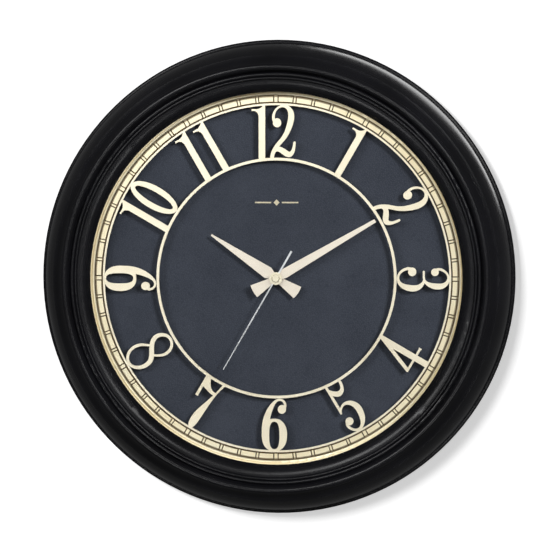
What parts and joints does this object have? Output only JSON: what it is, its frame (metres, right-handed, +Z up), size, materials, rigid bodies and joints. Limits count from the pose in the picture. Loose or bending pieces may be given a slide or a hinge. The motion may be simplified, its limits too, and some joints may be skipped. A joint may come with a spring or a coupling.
{
  "type": "wall clock",
  "caption": "Round wall clock with a moulded black frame, raised gold numeral ring, gold minute track, three hands, flat glass and a battery movement behind.",
  "frame": {"origin": "the hands' axis where it meets the wall plane", "axes": "+X to the viewer's right, +Z up, -Y out of the dial towards the viewer; the wall is the plane y = 0"},
  "size_m": [0.405, 0.05, 0.405],
  "materials": {
    "frame_lacquer": "turned wood-fibre ring in satin black lacquer",
    "glass": "clear polished sheet",
    "gold_plate": "vacuum-plated pale gold, bright",
    "dial_board": "dark slate board with a fine leather grain",
    "emblem_gold": "satin",
    "hand_metal": "fine brushed champagne",
    "second_white": "silver white",
    "brass": "polished",
    "cap_metal": "polished pale gold",
    "cover_board": "fine moulded texture",
    "steel": "zinc plated",
    "case_plastic": "fine moulded texture",
    "wheel_plastic": "natural acetal",
    "knob_plastic": "red moulding",
    "magnet": "sintered",
    "silicon_steel": "rolled",
    "bobbin_plastic": "moulded",
    "copper": "enamelled copper wire",
    "board_green": "solder mask",
    "epoxy": "potting drop",
    "nickel": "nickel plated",
    "cell_sleeve": "plain printed sleeve",
    "rubber": "matte"
  },
  "bodies": {
    "clock_case": {"frame": "frame_lacquer", "glass_lens": "glass", "minute_ring": "gold_plate", "numeral_ring": "gold_plate", "dial_plate": "dial_board", "dial_emblem": "emblem_gold", "dial_washer": "rubber", "fixing_nut": "brass", "movement_case": "case_plastic", "movement_cover": "case_plastic", "movement_screws": "steel", "stator": "silicon_steel", "coil_core": "silicon_steel", "coil_bobbin": "bobbin_plastic", "coil_winding": "copper", "circuit_board": "board_green", "driver_chip": "epoxy", "quartz_crystal": "nickel", "battery_contact": "nickel", "battery_spring": "nickel", "rear_cover": "cover_board", "case_screws": "steel", "hanger_plate": "steel", "hanger_screws": "steel"},
    "minute_arbor": {"centre_wheel": "brass", "clutch_spring": "steel", "minute_hand": "hand_metal", "minute_bush": "brass"},
    "hour_sleeve": {"hour_wheel": "wheel_plastic", "hour_hand": "hand_metal", "hour_bush": "brass"},
    "seconds_arbor": {"seconds_wheel": "steel", "second_hand": "second_white", "second_cap": "cap_metal"},
    "third": {"third_wheel": "wheel_plastic"},
    "intermediate": {"intermediate_wheel": "wheel_plastic"},
    "works": {"works_wheel": "wheel_plastic"},
    "setter": {"setting_knob": "knob_plastic"},
    "rotor": {"rotor_pinion": "wheel_plastic", "rotor_magnet": "magnet"},
    "cell": {"battery": "cell_sleeve", "battery_terminals": "nickel"}
  },
  "joints": [
    {"name": "minute_turn", "type": "hinge", "parent": "clock_case", "child": "minute_arbor", "pos_m": [0, -0.02, 0], "axis": [0, 1, 0], "continuous": true},
    {"name": "hour_turn", "type": "hinge", "parent": "clock_case", "child": "hour_sleeve", "pos_m": [0, -0.02, 0], "axis": [0, 1, 0], "continuous": true},
    {"name": "seconds_turn", "type": "hinge", "parent": "clock_case", "child": "seconds_arbor", "pos_m": [0, -0.02, 0], "axis": [0, 1, 0], "continuous": true},
    {"name": "third_turn", "type": "hinge", "parent": "clock_case", "child": "third", "pos_m": [0.00636, -0.012, 0.00636], "axis": [0, 1, 0], "continuous": true},
    {"name": "works_turn", "type": "hinge", "parent": "clock_case", "child": "works", "pos_m": [-0.0075, -0.016, 0], "axis": [0, 1, 0], "continuous": true},
    {"name": "setter_turn", "type": "hinge", "parent": "clock_case", "child": "setter", "pos_m": [-0.015, -0.01, 0], "axis": [0, 1, 0], "continuous": true},
    {"name": "intermediate_turn", "type": "hinge", "parent": "clock_case", "child": "intermediate", "pos_m": [-0.0045, -0.009, 0.00779], "axis": [0, 1, 0], "continuous": true},
    {"name": "rotor_turn", "type": "hinge", "parent": "clock_case", "child": "rotor", "pos_m": [-0.00602, -0.009, 0.01641], "axis": [0, 1, 0], "continuous": true},
    {"name": "cell_slide", "type": "slide", "parent": "clock_case", "child": "cell", "axis": [0, 1, 0], "range_m": [0, 0.02]}
  ],
  "couplings": [
    {"joint": "hour_turn", "follows": "minute_turn", "ratio": 0.083333},
    {"joint": "seconds_turn", "follows": "minute_turn", "ratio": 60},
    {"joint": "third_turn", "follows": "minute_turn", "ratio": -8},
    {"joint": "works_turn", "follows": "minute_turn", "ratio": -0.33333},
    {"joint": "setter_turn", "follows": "minute_turn", "ratio": 1},
    {"joint": "intermediate_turn", "follows": "minute_turn", "ratio": -300},
    {"joint": "rotor_turn", "follows": "minute_turn", "ratio": 1800}
  ]
}
